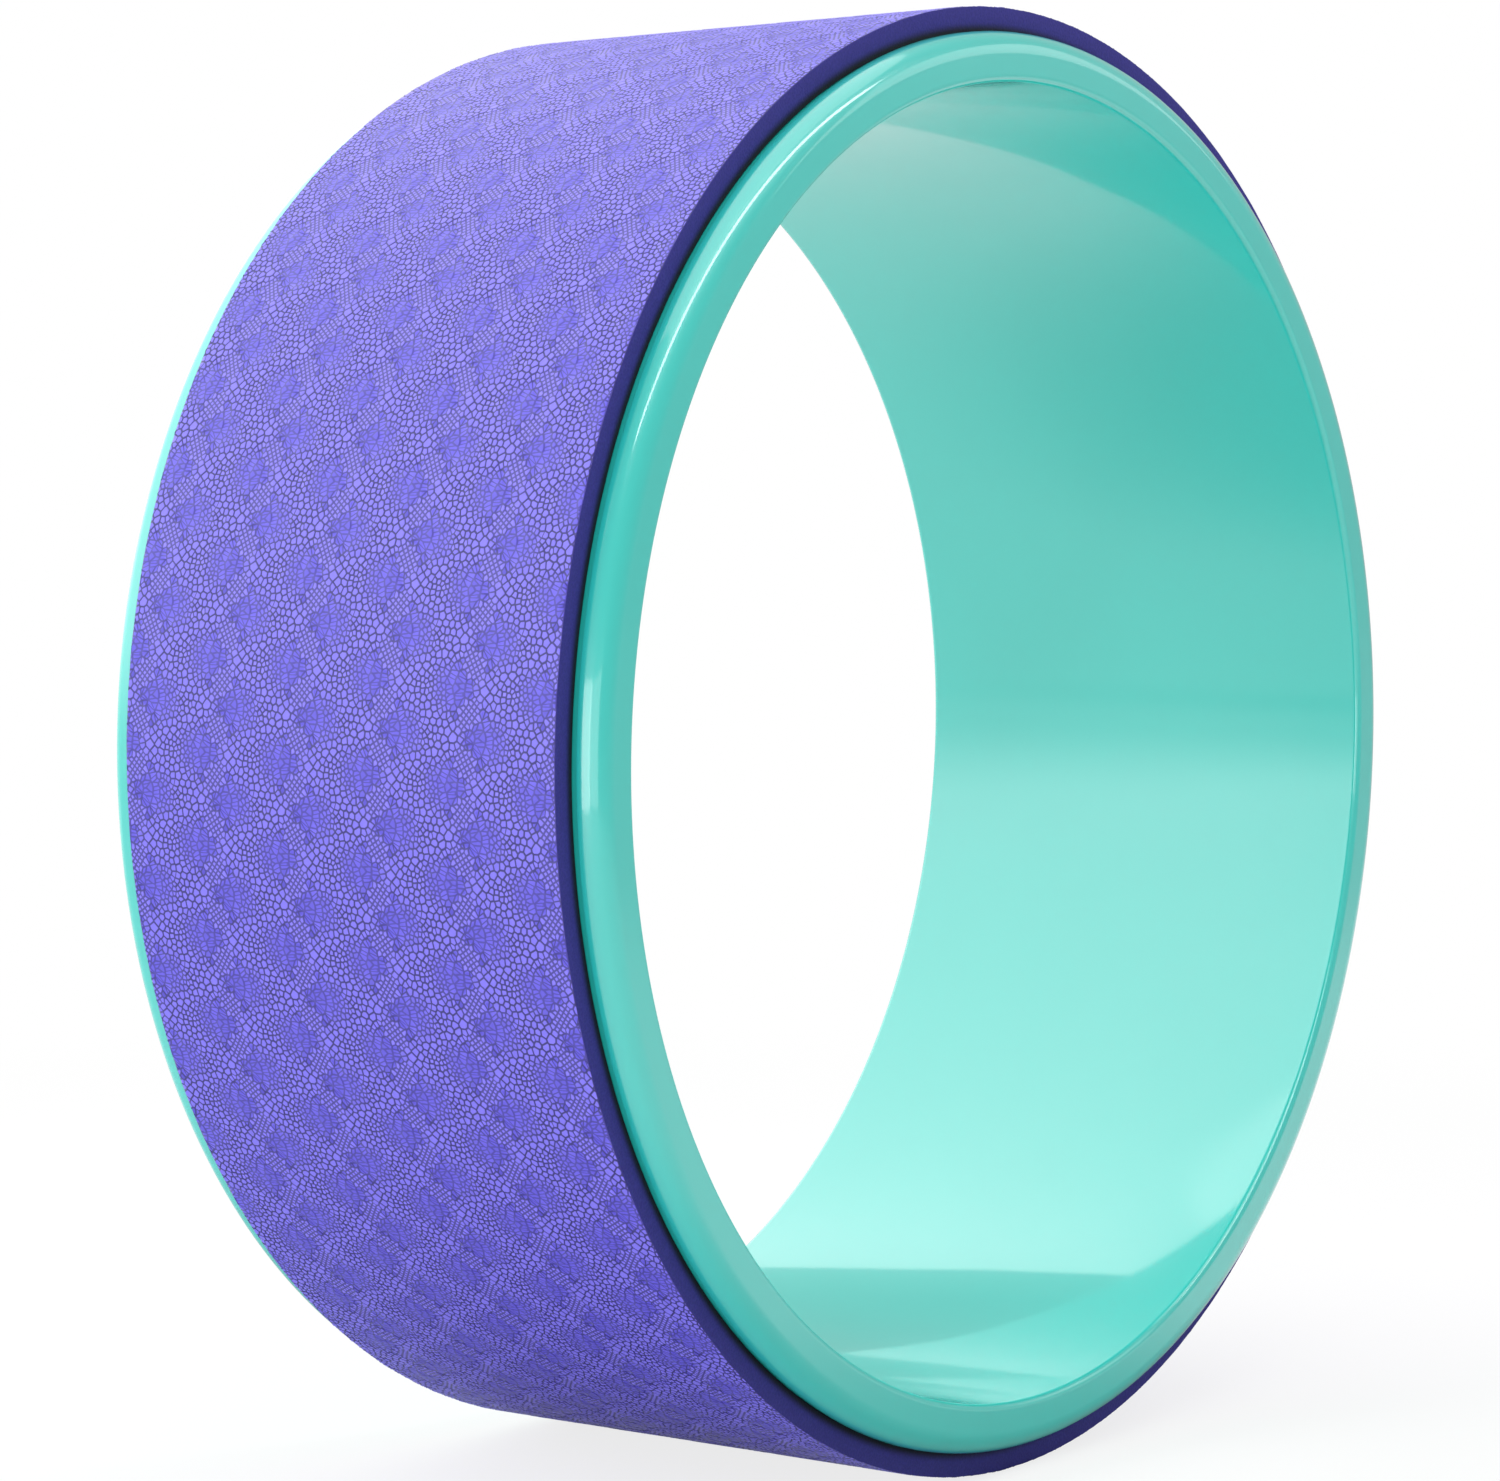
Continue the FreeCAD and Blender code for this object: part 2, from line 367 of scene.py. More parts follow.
# The skin on the bake's square, as shares of it: the top in rows, and then bands for the rest
BAKE_ROWS = 3
BAKE_MARGIN = 0.01
TOP_START, TOP_PITCH, TOP_HEIGHT = 0.005, 0.305, 0.295
END_START, FRONT_START, BACK_START, WALL_HEIGHT = 0.920, 0.932, 0.944, 0.006
UNDERSIDE_START, UNDERSIDE_HEIGHT = 0.956, 0.039
END_PITCH, END_LENGTH = 0.5, 0.4


def wrapped(step):
    """The same step in the lattice, to the nearest copy."""
    return step - REPEAT * np.round(step / REPEAT)


def faded(value, first, last):
    """0 before first, 1 past last and a smooth rise between them."""
    share = np.clip((value - first) / (last - first), 0, 1)
    return share * share * (3 - 2 * share)


def lens_frame(side):
    """Middle of a lens and its long and short directions. side is 1 or -1."""
    along = NODE_B * (1, side)
    middle = along / 2
    along = along / np.hypot(*along)
    return middle, along, np.array([-along[1], along[0]])


def lens_edge(share):
    """Half width of a lens at a share of its length from its middle."""
    return (1 - (2 * share) ** 2) * LENS_WIDTH / 2


def lens_depth(point):
    """How far a point lies inside the nearest lens."""
    depths = []
    for side in LENS_SIDES:
        middle, along, across = lens_frame(side)
        step = wrapped(point - middle)
        depths.append(lens_edge(step @ along / LENS_LENGTH) - abs(step @ across))
    return max(depths)


def band_distance(point):
    """Distance from the nearest band's middle line."""
    distances = []
    for start, end in BAND_RUNS:
        run = end - start
        for tile in NEIGHBOURS:
            step = point - start - REPEAT * tile
            share = np.clip(step @ run / (run @ run), 0, 1)
            distances.append(np.hypot(*(step - share * run)))
    return min(distances)


def fan_share(point):
    """How much a point belongs to the smooth, dark part of a fan."""
    shares = []
    for around in (point, NODE_B - point):
        step = wrapped(around - FAN_APEX)
        fade = 1 - faded(np.hypot(*(step * FAN_STRETCH)), *FAN_FADE)
        shares.append(fade * faded(step[0], -FAN_LIP, FAN_LIP))
    return max(shares)


def in_fan(point):
    """Whether a point lies among the rows of a fan."""
    for around in (point, NODE_B - point):
        step = wrapped(around - FAN_APEX)
        if np.hypot(*step) < FAN_REACH and abs(math.atan2(step[1], step[0])) < FAN_SPREAD:
            return True
    return False


def cell_look(point):
    """Look of a plain cell, which turns into that of a fan where the point lies in one."""
    return CELL_LOOK + (FAN_LOOK - CELL_LOOK) * fan_share(point)


class SeedBed:
    """Seeds of the cells of one repeat, with the room and the look of each."""

    def __init__(self):
        self.points = np.empty((0, 2))
        self.rooms = np.empty(0)
        self.looks = []

    def place(self, point, room, look):
        """Add a seed, unless one that is there already stands too near."""
        gaps = np.hypot(*wrapped(self.points - point).T)
        if np.any(gaps < (self.rooms + room) / 2):
            return
        self.points = np.vstack([self.points, point])
        self.rooms = np.append(self.rooms, room)
        self.looks.append(look)


def place_lens_cells(bed):
    """Rows of small cells inside the two lenses."""
    half_length = int(LENS_LENGTH / LENS_PITCH / 2)
    half_width = int(LENS_WIDTH / LENS_PITCH / 2)
    for side in LENS_SIDES:
        middle, along, across = lens_frame(side)
        for i in range(-half_length, half_length + 1):
            for j in range(-half_width, half_width + 1):
                point = middle + (along * i + across * j) * LENS_PITCH
                if lens_depth(point) > LENS_INSIDE:
                    bed.place(point, LENS_ROOM, LENS_LOOK)


def place_fan_cells(bed, draw):
    """Rows of long cells round the apex of each fan. The second fan is turned over."""
    for turned_over in (False, True):
        for row, count in FAN_ROWS:
            for index in range(count):
                step = 2 * index + 1 + draw.uniform(-FAN_STEP_VARIES, FAN_STEP_VARIES)
                angle = FAN_SPREAD * (step / count - 1)
                out = row + draw.uniform(-FAN_ROW_VARIES, FAN_ROW_VARIES)
                point = FAN_APEX + out * np.array([math.cos(angle), math.sin(angle)])
                if lens_depth(point) < -FAN_LENS_GAP:
                    look = cell_look(point)
                    look = look + (BLADE_LOOK - look) * faded(abs(angle), *BLADE_ANGLES)
                    bed.place(NODE_B - point if turned_over else point, FAN_ROOM, look)


def place_other_cells(bed, draw):
    """Larger cells along the bands first, then finer ones wherever there is room."""
    for widest in (BAND_FIRST, math.inf):
        for _ in range(FILL_TRIES):
            point = REPEAT * (draw.random(), draw.random())
            distance = band_distance(point)
            if distance < widest and lens_depth(point) < 0 and not in_fan(point):
                look = cell_look(point)
                look[PALE] += draw.uniform(-PALE_VARIES, PALE_VARIES)
                room = BAND_ROOM + (FINE_ROOM - BAND_ROOM) * faded(distance, *BAND_FADE)
                bed.place(point, room, look)


def emboss_seeds():
    """Seed and look of each cell of one repeat."""
    draw = random.Random(EMBOSS_SEED)
    bed = SeedBed()
    for node in (NODE_A, NODE_B):
        bed.place(node, NODE_ROOM, NODE_LOOK)
    place_lens_cells(bed)
    place_fan_cells(bed, draw)
    place_other_cells(bed, draw)
    return bed.points, np.array(bed.looks)


def circle_centres(a, b, c):
    """Centres of the circles through the corners a, b and c of triangles."""
    ab, ac = b - a, c - a
    twice = 2 * (ab[:, 0] * ac[:, 1] - ab[:, 1] * ac[:, 0])
    ab_square, ac_square = np.sum(ab ** 2, axis=1), np.sum(ac ** 2, axis=1)
    return a + np.stack([
        (ac[:, 1] * ab_square - ab[:, 1] * ac_square) / twice,
        (ab[:, 0] * ac_square - ac[:, 0] * ab_square) / twice,
    ], axis=1)


def repeat_cells(seeds, looks):
    """Voronoi cells of one repeat: for each seed, its corners and their groove depth, paleness and painted
    groove shade.
    """
    count = len(seeds)
    spread = np.concatenate([seeds + REPEAT * tile for tile in NEIGHBOURS])
    faces = delaunay_2d_cdt([Vector(point) for point in spread], [], [], 0, TRIANGLE_TOLERANCE)[2]
    triangles = np.array(faces)
    centres = circle_centres(*(spread[triangles[:, corner]] for corner in range(3)))
    shared_looks = looks[triangles % count, 1:].mean(axis=1)
    middle_tile = len(NEIGHBOURS) // 2 * count
    around = [[] for _ in range(count)]
    for number, triangle in enumerate(triangles):
        for seed in triangle:
            if 0 <= seed - middle_tile < count:
                around[seed - middle_tile].append(number)
    cells = []
    for seed, numbers in enumerate(around):
        steps = centres[numbers] - seeds[seed]
        order = np.argsort(-np.arctan2(steps[:, 1], steps[:, 0]))
        numbers = np.array(numbers)[order]
        cells.append((centres[numbers], shared_looks[numbers]))
    return cells


def clipped(polygon, low, high):
    """Part of a polygon of (p, q, depth, pale, painted groove shade) corners that lies between the low and
    high corner.
    """
    for axis in (0, 1):
        for limit, sign in ((low[axis], 1), (high[axis], -1)):
            kept = []
            for here, after in zip(polygon, np.roll(polygon, -1, axis=0)):
                inside, next_inside = sign * (here[axis] - limit), sign * (after[axis] - limit)
                if inside >= 0:
                    kept.append(here)
                if inside * next_inside < 0:
                    point = here + (after - here) * inside / (inside - next_inside)
                    point[axis] = limit
                    kept.append(point)
            if len(kept) < 3:
                return polygon[:0]
            polygon = np.array(kept)
    return polygon


def strip_cells(low, high):
    """Cells of the whole strip, as (look, corners) with corners of (p, q, depth, pale, painted groove
    shade).
    """
    seeds, looks = emboss_seeds()
    cosine, sine = math.cos(LATTICE_TURN), math.sin(LATTICE_TURN)
    turn = np.array([[cosine, sine], [-sine, cosine]])
    steps = np.diag(REPEAT) @ turn
    corners_of_strip = np.array([low, (low[0], high[1]), high, (high[0], low[1])])
    places = (corners_of_strip - LATTICE_ORIGIN) @ np.linalg.inv(steps)
    first = np.floor(places.min(axis=0)).astype(int) - 1
    last = np.ceil(places.max(axis=0)).astype(int) + 1
    tiles = np.array([(i, j) for i in range(first[0], last[0]) for j in range(first[1], last[1])])
    shifts = tiles @ steps + LATTICE_ORIGIN
    found = []
    for look, (corners, extras) in zip(looks, repeat_cells(seeds, looks)):
        base = corners @ turn
        least, most = base.min(axis=0), base.max(axis=0)
        inside = np.all((shifts + least > low) & (shifts + most < high), axis=1)
        outside = np.any((shifts + most < low) | (shifts + least > high), axis=1)
        for shift, whole in zip(shifts[~outside], inside[~outside]):
            polygon = np.hstack([base + shift, extras])
            if not whole:
                polygon = clipped(polygon, low, high)
            if len(polygon):
                found.append((look, polygon))
    return found


class SkinFaces:
    """Faces of the skin while it lies flat. A vertex is (p, q, depth, inset, pale, painted groove shade).

    depth is the distance below the tread, and inset the distance from the edge of the vertex's cell.
    """

    def __init__(self):
        self.vertices = []
        self.numbers = {}
        self.corners, self.counts, self.kinds = [], [], []

    def face(self, kind, *corners):
        self.corners.extend(corners)
        self.counts.append(len(corners))
        self.kinds.append(kind)

    def shared(self, point):
        """Number of the vertex at a corner of a cell, which its neighbours share."""
        key = (round(point[0] * MERGE_STEPS), round(point[1] * MERGE_STEPS))
        if key not in self.numbers:
            self.numbers[key] = len(self.vertices)
            self.vertices.append((point[0], point[1], point[2], 0.0, point[3], point[4]))
        return self.numbers[key]

    def ring(self, polygon):
        """Numbers of the vertices round a cell, each once."""
        ring = []
        for point in polygon:
            number = self.shared(point)
            if not ring or number != ring[-1]:
                ring.append(number)
        if ring[0] == ring[-1]:
            ring.pop()
        return ring

    def add_cell(self, look, polygon):
        """Raised cell: a flat top inside a slope if it is wide enough, or else a point."""
        # The last part of a look is how much painted shade darkens the grooves round the cell.
        top, _, pale, groove_shade = look
        ring = self.ring(polygon)
        count = len(ring)
        if count < 3:
            return
        outline = np.array([self.vertices[number][:2] for number in ring])
        middle = outline.mean(axis=0)
        edges = np.roll(outline, -1, axis=0) - outline
        steps = middle - outline
        spans = np.abs(edges[:, 0] * steps[:, 1] - edges[:, 1] * steps[:, 0]) / np.hypot(*edges.T)
        inside = np.median(spans)
        first = len(self.vertices)
        if spans.min() > PLATEAU_LEAST:
            for point in outline + (middle - outline) * PLATEAU_SLOPE / inside:
                self.vertices.append((point[0], point[1], top, PLATEAU_SLOPE, pale, groove_shade))
            for index in range(count):
                after = (index + 1) % count
                self.face(SLOPE, ring[index], ring[after], first + after, first + index)
            self.face(PLATEAU, *range(first, first + count))
        else:
            self.vertices.append((middle[0], middle[1], top, inside, pale, groove_shade))
            for index in range(count):
                self.face(SLOPE, ring[index], ring[(index + 1) % count], first)

    def add_underside(self, low, high):
        """Walls round the strip, and the underside between its front and back walls."""
        flat = np.array(self.vertices)
        sides = []
        for axis, limit in ((0, low[0]), (0, high[0]), (1, low[1]), (1, high[1])):
            on_edge = np.flatnonzero(np.abs(flat[:, axis] - limit) < BORDER_TOLERANCE)
            sides.append(on_edge[np.argsort(flat[on_edge, 1 - axis])])
        back_side, front_side, first_end, last_end = sides
        under = {}
        for number in np.concatenate([back_side, front_side]):
            under[number] = len(self.vertices)
            self.vertices.append((flat[number, 0], flat[number, 1], skin_thickness, 1.0, 0.0, 0.0))
        for here, after in zip(front_side, front_side[1:]):
            self.face(FRONT_WALL, here, after, under[after], under[here])
        for here, after in zip(back_side, back_side[1:]):
            self.face(BACK_WALL, after, here, under[here], under[after])
        self.face(END_WALL, *first_end, under[first_end[-1]], under[first_end[0]])
        self.face(END_WALL, *last_end[::-1], under[last_end[0]], under[last_end[-1]])
        back, front = back_side[0], front_side[0]
        steps = [(flat[number, 1], False, number) for number in back_side[1:]]
        steps += [(flat[number, 1], True, number) for number in front_side[1:]]
        for _, at_front, number in sorted(steps):
            self.face(UNDERSIDE, under[back], under[front], under[number])
            if at_front:
                front = number
            else:
                back = number


def bake_places(flat, corners, counts, kinds):
    """Place of each face corner on the bake's square."""
    owner = np.repeat(np.arange(len(counts)), counts)
    across = (flat[corners, 0] - flat[:, 0].min()) / np.ptp(flat[:, 0])
    along = flat[corners, 1] / strip_length
    sunk = flat[corners, 2] / skin_thickness
    middle = np.bincount(owner, along) / counts
    row = np.clip((middle * BAKE_ROWS).astype(int), 0, BAKE_ROWS - 1)[owner]
    late_end = middle[owner] > 0.5
    kind = kinds[owner]
    on_top = (kind == SLOPE) | (kind == PLATEAU)
    on_end = kind == END_WALL
    u = np.select([on_top, on_end],
                  [along * BAKE_ROWS - row, END_LENGTH * across + END_PITCH * late_end],
                  along)
    v = np.select([on_top, on_end, kind == FRONT_WALL, kind == BACK_WALL],
                  [TOP_START + TOP_PITCH * row + TOP_HEIGHT * across, END_START + WALL_HEIGHT * sunk,
                   FRONT_START + WALL_HEIGHT * sunk, BACK_START + WALL_HEIGHT * sunk],
                  UNDERSIDE_START + UNDERSIDE_HEIGHT * across)
    return np.stack([BAKE_MARGIN + (1 - 2 * BAKE_MARGIN) * u, v], axis=1).astype(np.float32)


def make_skin():
    """Embossed top layer of the pad, with each cell of the emboss as real relief."""
    low = np.array([-pad_back, SEAM_GAP / 2])
    high = np.array([-pad_front, strip_length - SEAM_GAP / 2])
    skin = SkinFaces()
    for look, polygon in strip_cells(low, high):
        skin.add_cell(look, polygon)
    skin.add_underside(low, high)
    flat = np.array(skin.vertices)
    kinds = np.array(skin.kinds)
    angles = flat[:, 1] / tread_radius
    radius = tread_radius - flat[:, 2]
    places = np.stack([radius * np.cos(angles), -flat[:, 0], radius * np.sin(angles)], axis=1)
    mesh = mesh_from_arrays("pad_skin_strip", places, skin.corners, skin.counts)
    # The last layer is the painted shade of the grooves.
    for name, column in (("inset", 3), ("pale", 4), ("groove_shade", 5)):
        add_layer(mesh, name, flat[:, column])
    on_top = (kinds == SLOPE) | (kinds == PLATEAU)
    mesh.polygons.foreach_set("use_smooth", kinds == SLOPE)
    mesh.polygons.foreach_set("material_index", np.where(on_top, 0, 1).astype(np.int32))
    layer = mesh.uv_layers.new(name="OFBake")
    layer.data.foreach_set("uv", bake_places(flat, skin.corners, np.array(skin.counts), kinds).ravel())
    mesh.update()
    return link_object("pad_skin_strip", mesh)


class Nodes:
    """A node tree under construction, with one short call for each node and its links."""

    def __init__(self, tree):
        self.tree = tree

    def node(self, kind, settings=None, **inputs):
        """New node. An input is named with _ for a space, or i and its number."""
        made = self.tree.nodes.new("ShaderNode" + kind)
        for name, value in (settings or {}).items():
            setattr(made, name, value)
        for name, value in inputs.items():
            key = int(name[1:]) if name[1:].isdigit() else name.replace("_", " ")
            if isinstance(value, bpy.types.NodeSocket):
                self.tree.links.new(value, made.inputs[key])
            else:
                made.inputs[key].default_value = value
        return made

    def place(self):
        return self.node("TexCoord").outputs["Object"]

    def layer(self, name):
        return self.node("Attribute", {"attribute_name": name}).outputs["Fac"]

    def noise(self, scale, detail=2.0):
        return self.node("TexNoise", Vector=self.place(), Scale=scale, Detail=detail).outputs["Fac"]

    def blend(self, share, first, second, blend_type="MIX"):
        settings = {"data_type": "RGBA", "blend_type": blend_type}
        return self.node("Mix", settings, i0=share, i6=first, i7=second).outputs[2]

    def combine(self, operation, first, second):
        return self.node("Math", {"operation": operation}, i0=first, i1=second).outputs["Value"]

    def spread(self, value, low, high):
        return self.node("MapRange", Value=value, To_Min=low, To_Max=high).outputs["Result"]

    def ramp(self, value, first, last, low=0.0, high=1.0):
        """low up to first, high from last on and a smooth change between them."""
        made = self.node("MapRange", {"interpolation_type": "SMOOTHSTEP"}, Value=value,
                         From_Min=first, From_Max=last, To_Min=low, To_Max=high)
        return made.outputs["Result"]

    def bump(self, height, depth, **under):
        return self.node("Bump", Height=height, Distance=depth, **under).outputs["Normal"]


class Shading(Nodes):
    """A material under construction, with its main shader."""

    def __init__(self, name):
        self.material = bpy.data.materials.new(name)
        self.material.use_nodes = True
        super().__init__(self.material.node_tree)
        self.shader = self.tree.nodes["Principled BSDF"]

    def set(self, **values):
        for name, value in values.items():
            self.shader.inputs[name.replace("_", " ")].default_value = value

    def feed(self, output, name):
        self.tree.links.new(output, self.shader.inputs[name])


# Colours
MINT_LOW, MINT_HIGH = (0.016, 0.55, 0.485, 1), (0.022, 0.59, 0.52, 1)
SKIN_DARK, SKIN_PALE = (0.070, 0.049, 0.63, 1), (0.212, 0.172, 0.93, 1)
# Painted shade: the colour that the skin's grooves darken to
PAINTED_GROOVE_SHADE = (0.012, 0.006, 0.17, 1)
MOTTLE_LOW, MOTTLE_HIGH = (0.86, 0.86, 0.90, 1), (1.1, 1.1, 1.06, 1)
FOAM_LOW, FOAM_HIGH = (0.022, 0.018, 0.19, 1), (0.034, 0.027, 0.255, 1)
# Painted shade for the inner part of the foam's cut sides, in the gap beside the rims
FOAM_PAINTED_GAP_SHADE = (0.003, 0.003, 0.012, 1)
# The adhesive film's colour is painted shade, near black, because its edge lies in the shaded gap beside
# the rim.
JOINT_GLUE, FILM_PAINTED_SHADE, SEAM_GLUE = (0.30, 0.55, 0.48), (0.02, 0.02, 0.03), (0.10, 0.08, 0.35)
GLUE_DARKEST = 0.8
FLOOR_TONE, FLOOR_SEEN = (0.9, 0.9, 0.9, 1), (0.92, 0.92, 0.92, 1)
FLOOR_MIRRORED = (0.35, 0.35, 0.35, 1)
WHITE = (1, 1, 1, 1)

# The world's level on the object, and how far reflections go from that to the white that is seen
FILL_LEVEL = 0.4
MIRRORED_WHITE = 0.15


def hoop_material():
    """Glossy moulded plastic, a little wavy, with a faint grain in its gloss."""
    shading = Shading("hoop_plastic")
    shading.feed(shading.blend(shading.noise(scale=14.0), MINT_LOW, MINT_HIGH), "Base Color")
    grain = shading.noise(scale=160.0, detail=3.0)
    shading.feed(shading.spread(grain, low=0.26, high=0.34), "Roughness")
    waves = shading.bump(shading.noise(scale=18.0, detail=1.0), depth=0.0002)
    peel = shading.bump(shading.noise(scale=900.0, detail=1.0), depth=0.000004, Normal=waves)
    shading.feed(peel, "Normal")
    shading.feed(peel, "Coat Normal")
    shading.set(IOR=1.5, Specular_IOR_Level=0.8, Coat_Weight=1.0, Coat_Roughness=0.06, Coat_IOR=1.65)
    return shading.material


def skin_material():
    """Embossed foam skin: pale raised cells, darker fans, and grooves darkened by painted shade."""
    shading = Shading("pad_skin")
    near_groove = shading.ramp(shading.layer("inset"), first=0.11, last=0.31, low=1.0, high=0.0)
    # Painted shade: near each cell's edge the colour darkens towards the groove colour, as much as the
    # cell's groove shade says.
    line = shading.combine("MULTIPLY", near_groove, shading.layer("groove_shade"))
    top = shading.blend(shading.layer("pale"), SKIN_DARK, SKIN_PALE)
    colour = shading.blend(line, top, PAINTED_GROOVE_SHADE)
    mottle = shading.blend(shading.noise(scale=1400.0), MOTTLE_LOW, MOTTLE_HIGH)
    shading.feed(shading.blend(1.0, colour, mottle, "MULTIPLY"), "Base Color")
    shading.feed(shading.spread(shading.noise(scale=500.0), low=0.42, high=0.58), "Roughness")
    shading.feed(shading.bump(shading.noise(scale=2600.0, detail=3.0), depth=0.00004), "Normal")
    shading.set(IOR=1.5, Specular_IOR_Level=0.75, Sheen_Weight=0.2, Sheen_Roughness=0.35)
    return shading.material


def foam_material():
    """Cut closed-cell foam, deep indigo, with its fine cells opened by the knife, and painted shade on the
    inner part of its cut sides.
    """
    shading = Shading("pad_foam")
    cells = shading.node("TexVoronoi", Vector=shading.place(), Scale=1800.0).outputs["Distance"]
    colour = shading.blend(cells, FOAM_LOW, FOAM_HIGH)
    # Painted shade: the cut side darkens to near black towards the hoop, in the gap beside the rim.
    inward = shading.ramp(shading.layer("depth"), first=0.5, last=0.9)
    shading.feed(shading.blend(inward, colour, FOAM_PAINTED_GAP_SHADE), "Base Color")
    shading.feed(shading.bump(cells, depth=0.00006), "Normal")
    shading.set(Roughness=0.7, IOR=1.45)
    return shading.material


def glue_material(name, colour, roughness):
    """Set adhesive with small bubbles and a slightly uneven tone."""
    shading = Shading(name)
    tone = shading.noise(scale=300.0, detail=3.0)
    dark = [GLUE_DARKEST * part for part in colour]
    shading.feed(shading.blend(tone, (*dark, 1), (*colour, 1)), "Base Color")
    shading.feed(shading.bump(tone, depth=0.00003), "Normal")
    shading.set(Roughness=roughness, IOR=1.48)
    return shading.material


def dress(piece, node, slot, *materials):
    """Give a piece its materials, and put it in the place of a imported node."""
    for material in materials:
        piece.data.materials.append(material)
    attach(piece, "root")
    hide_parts(node)


def dress_node(node, material):
    """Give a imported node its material."""
    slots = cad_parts[node].data.materials
    for index in range(len(slots)):
        slots[index] = material


def make_camera():
    """Camera at the fitted place, level, looking a little down."""
    right = Vector((math.cos(CAMERA_AZIMUTH), math.sin(CAMERA_AZIMUTH), 0))
    flat_ahead = Vector((-math.sin(CAMERA_AZIMUTH), math.cos(CAMERA_AZIMUTH), 0))
    ahead = flat_ahead * math.cos(CAMERA_PITCH) - Vector((0, 0, math.sin(CAMERA_PITCH)))
    up = right.cross(ahead)
    data = bpy.data.cameras.new("camera")
    data.sensor_fit = "HORIZONTAL"
    data.sensor_width = SENSOR_WIDTH
    data.lens = FOCAL_PIXELS / IMAGE_WIDTH * SENSOR_WIDTH
    data.clip_start = CLIP_START * MM
    camera = link_object("camera", data)
    place = -(right * CENTRE_RIGHT - up * CENTRE_DOWN + ahead * CENTRE_AHEAD) * MM
    axes = Matrix((right, up, -ahead)).transposed().to_4x4()
    camera.matrix_world = Matrix.Translation(place) @ axes
    bpy.context.scene.camera = camera


def fade_lamp(data, levels):
    """Vary a lamp over its height. levels gives parts of its radiance at shares of the height."""
    data.use_nodes = True
    nodes = Nodes(data.node_tree)
    place_on_lamp = nodes.node("NewGeometry").outputs["Parametric"]
    height = nodes.node("SeparateXYZ", i0=place_on_lamp).outputs["Y"]
    ramp = nodes.node("ValToRGB", Fac=height)
    ramp.color_ramp.interpolation = "EASE"
    stops = ramp.color_ramp.elements
    stops.remove(stops[1])
    for index, (share, level) in enumerate(levels):
        stop = stops.new(share) if index else stops[0]
        stop.position = share
        stop.color = (level, level, level, 1)
    nodes.tree.links.new(ramp.outputs["Color"], nodes.tree.nodes["Emission"].inputs["Strength"])


def softbox(name, place, aim, size, radiance):
    """Area lamp of a width and height that faces a point."""
    width, height = size
    data = bpy.data.lights.new(name, "AREA")
    data.shape = "RECTANGLE"
    data.size, data.size_y = width, height
    data.energy = radiance * math.pi * width * height
    lamp = link_object(name, data)
    lamp.location = place
    lamp.rotation_euler = (Vector(aim) - Vector(place)).to_track_quat("-Z", "Y").to_euler()
    lamp.visible_camera = False
    return data


def make_lights():
    """A panel behind, which fades out at its bottom, and softboxes at the left, above and at the right."""
    across, up = -0.665, 0.5425
    panel = softbox("back_panel", (across, 0.7, up), aim=(across, 0, up), size=(2.47, 1.415), radiance=2.0)
    fade_lamp(panel, ((0.0, 0.0), (0.08, 0.25), (0.27, 0.9), (0.45, 0.85), (0.8, 0.92)))
    softbox("left_low", (-1.25, 0.05, 0.025), aim=(0, 0.05, 0.025), size=(0.9, 0.38), radiance=2.7)
    softbox("left_front", (-1.1, -0.7, 0.03), aim=(0, 0, 0.03), size=(0.9, 0.36), radiance=1.3)
    softbox("top_panel", (0, 0, 1.5), aim=(0, 0, 0), size=(1.8, 1.8), radiance=1.05)
    softbox("top_strip", (-0.1, -0.45, 0.62), aim=(0, 0, 0.1), size=(1.2, 0.07), radiance=8.0)
    softbox("right_card", (1.05, -0.75, 0.55), aim=(0, 0, 0.1), size=(0.5, 0.5), radiance=1.0)


def make_world():
    """White to look at, a part of that in reflections, and a soft even fill for the object."""
    world = bpy.data.worlds.new("studio")
    world.use_nodes = True
    nodes = Nodes(world.node_tree)
    path = nodes.node("LightPath").outputs
    white = path["Is Camera Ray"]
    for name in ("Is Glossy Ray", "Is Transmission Ray"):
        white = nodes.combine("MAXIMUM", white, nodes.combine("MULTIPLY", path[name], MIRRORED_WHITE))
    background = nodes.tree.nodes["Background"]
    background.inputs["Color"].default_value = WHITE
    nodes.tree.links.new(nodes.spread(white, low=FILL_LEVEL, high=1.0), background.inputs["Strength"])
    bpy.context.scene.world = world


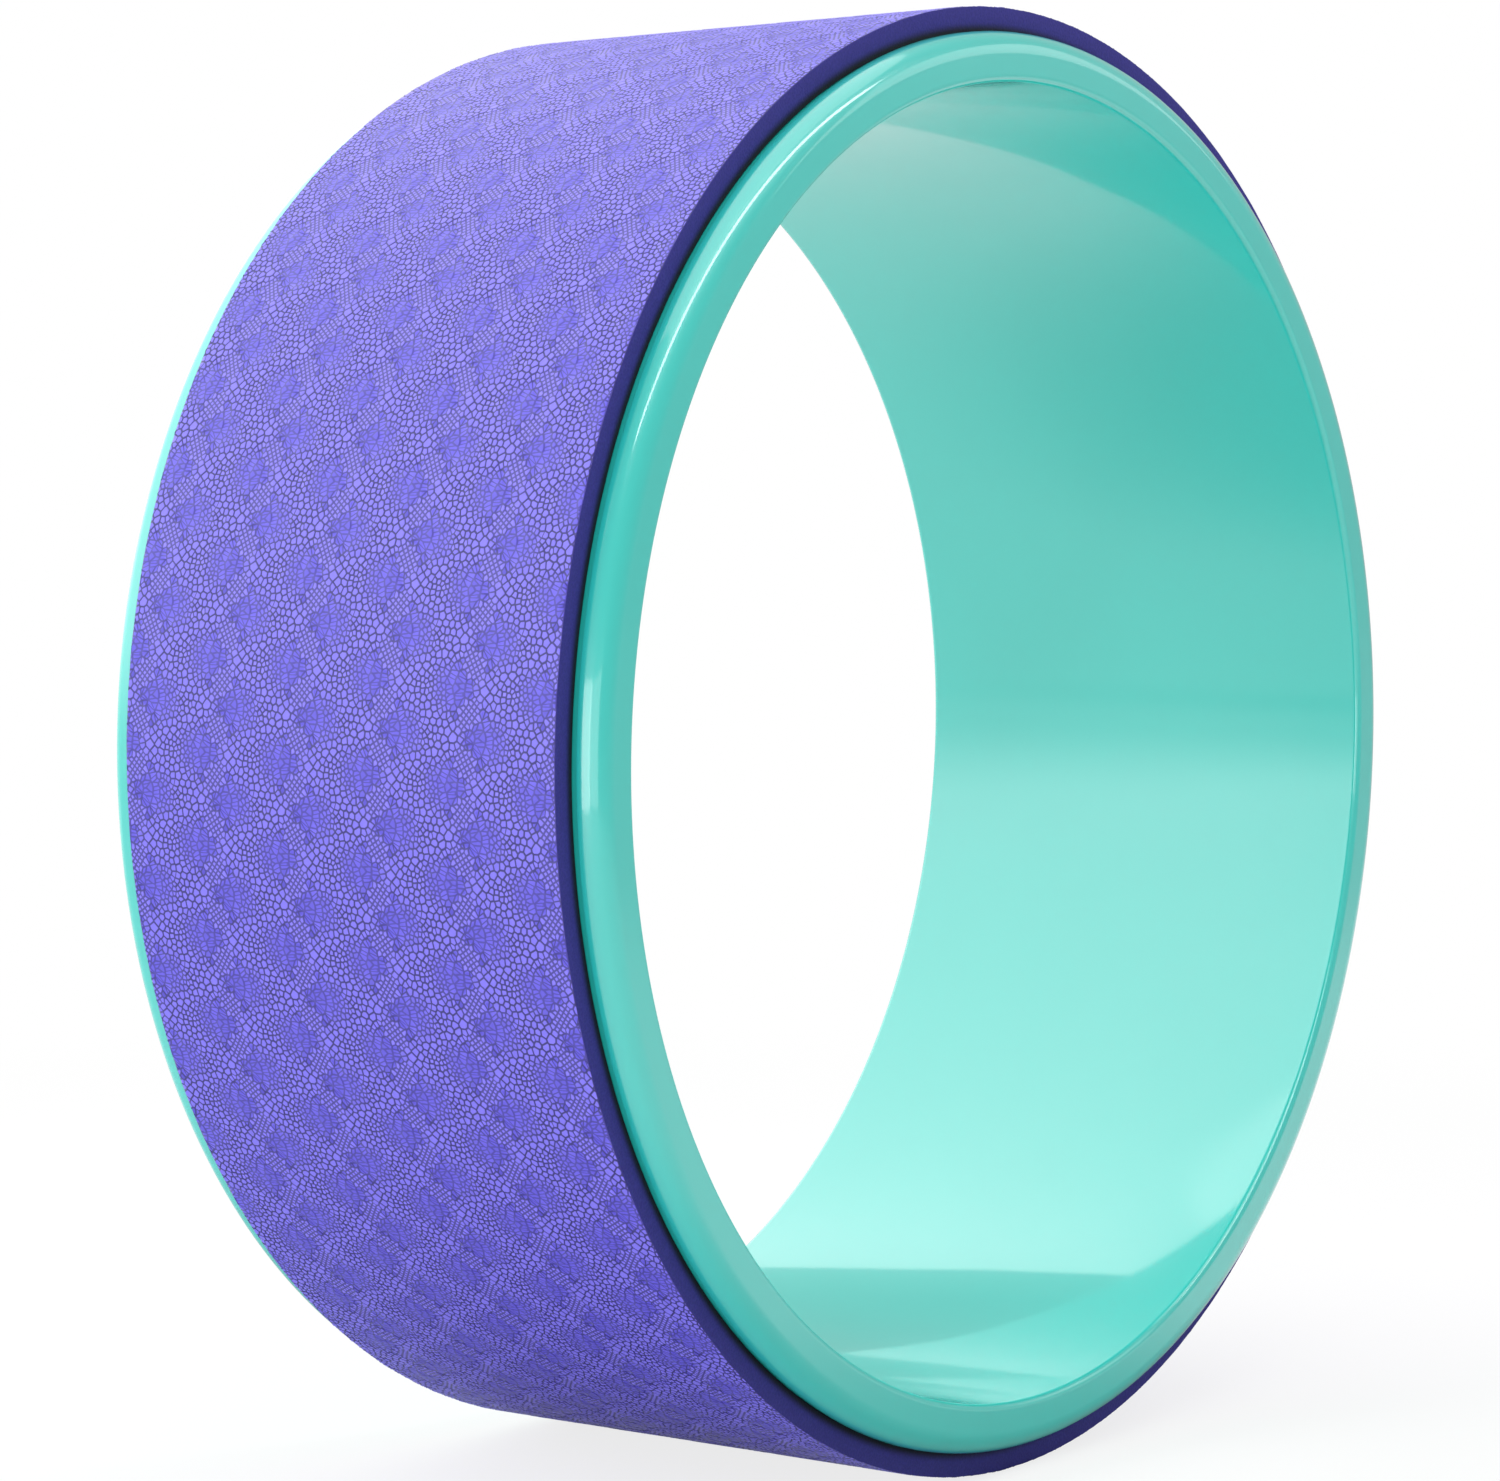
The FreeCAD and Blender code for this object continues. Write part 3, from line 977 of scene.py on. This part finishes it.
def floor_material():
    """White that glows for the camera and in reflections, but less near the wheel and its soft shadow.

    Reflections of the far floor glow less too.
    """
    shading = Shading("floor_white")
    path = shading.node("LightPath").outputs
    tone = shading.blend(path["Is Camera Ray"], FLOOR_TONE, FLOOR_SEEN)
    # In reflections the floor takes a darker colour, painted shade, which shows where its glow fades near
    # the wheel.
    shading.feed(shading.blend(path["Is Glossy Ray"], tone, FLOOR_MIRRORED), "Base Color")
    shading.set(Roughness=1.0, Specular_IOR_Level=0.0)
    distance = shading.node("VectorMath", {"operation": "LENGTH"}, i0=shading.place()).outputs["Value"]
    for_camera = shading.ramp(distance, first=0.3, last=0.9, low=0.8, high=1.0)
    near_gloss = shading.ramp(distance, first=0.18, last=0.32)
    far_gloss = shading.ramp(distance, first=0.95, last=1.9, low=1.0, high=0.5)
    for_gloss = shading.combine("MULTIPLY", near_gloss, far_gloss)
    mirrored = shading.combine("MAXIMUM", path["Is Glossy Ray"], path["Is Transmission Ray"])
    camera_share = shading.combine("MULTIPLY", path["Is Camera Ray"], for_camera)
    gloss_share = shading.combine("MULTIPLY", mirrored, for_gloss)
    share = shading.combine("MAXIMUM", camera_share, gloss_share)
    glow = shading.node("Emission").outputs["Emission"]
    mix = shading.node("MixShader", i0=share, i1=shading.shader.outputs["BSDF"], i2=glow).outputs["Shader"]
    shading.tree.links.new(mix, shading.tree.nodes["Material Output"].inputs["Surface"])
    return shading.material


def make_floor():
    """Plain floor under the wheel that shows as the background."""
    half_size = 8000.0
    corners = ((-1, -1), (1, -1), (1, 1), (-1, 1))
    places = [(x * half_size, y * half_size, -tread_radius) for x, y in corners]
    mesh = mesh_from_arrays("floor", places, [0, 1, 2, 3], [4])
    mesh.materials.append(floor_material())
    floor = link_object("floor", mesh)


hoop = hoop_material()
foam = foam_material()
dress(make_inner_shell(), "inner_shell", "hoop_plastic", hoop)
dress(make_outer_shell(), "outer_shell", "hoop_plastic", hoop)
foam_strip = make_foam()
dress(foam_strip, "pad_foam", "pad_foam", foam)
skin_strip = make_skin()
dress(skin_strip, "pad_skin", "pad_skin", skin_material(), foam)
for joint in ("front_joint_glue", "back_joint_glue"):
    dress_node(joint, glue_material(joint, JOINT_GLUE, roughness=0.3))
# The adhesive film gets its near-black painted shade for the gap beside the rim.
dress_node("pad_adhesive", glue_material("pad_adhesive", FILM_PAINTED_SHADE, roughness=0.5))
dress_node("pad_seam_glue", glue_material("pad_seam_glue", SEAM_GLUE, roughness=0.45))
make_world()
make_lights()
make_floor()
make_camera()
bpy.context.scene.view_settings.view_transform = "Standard"
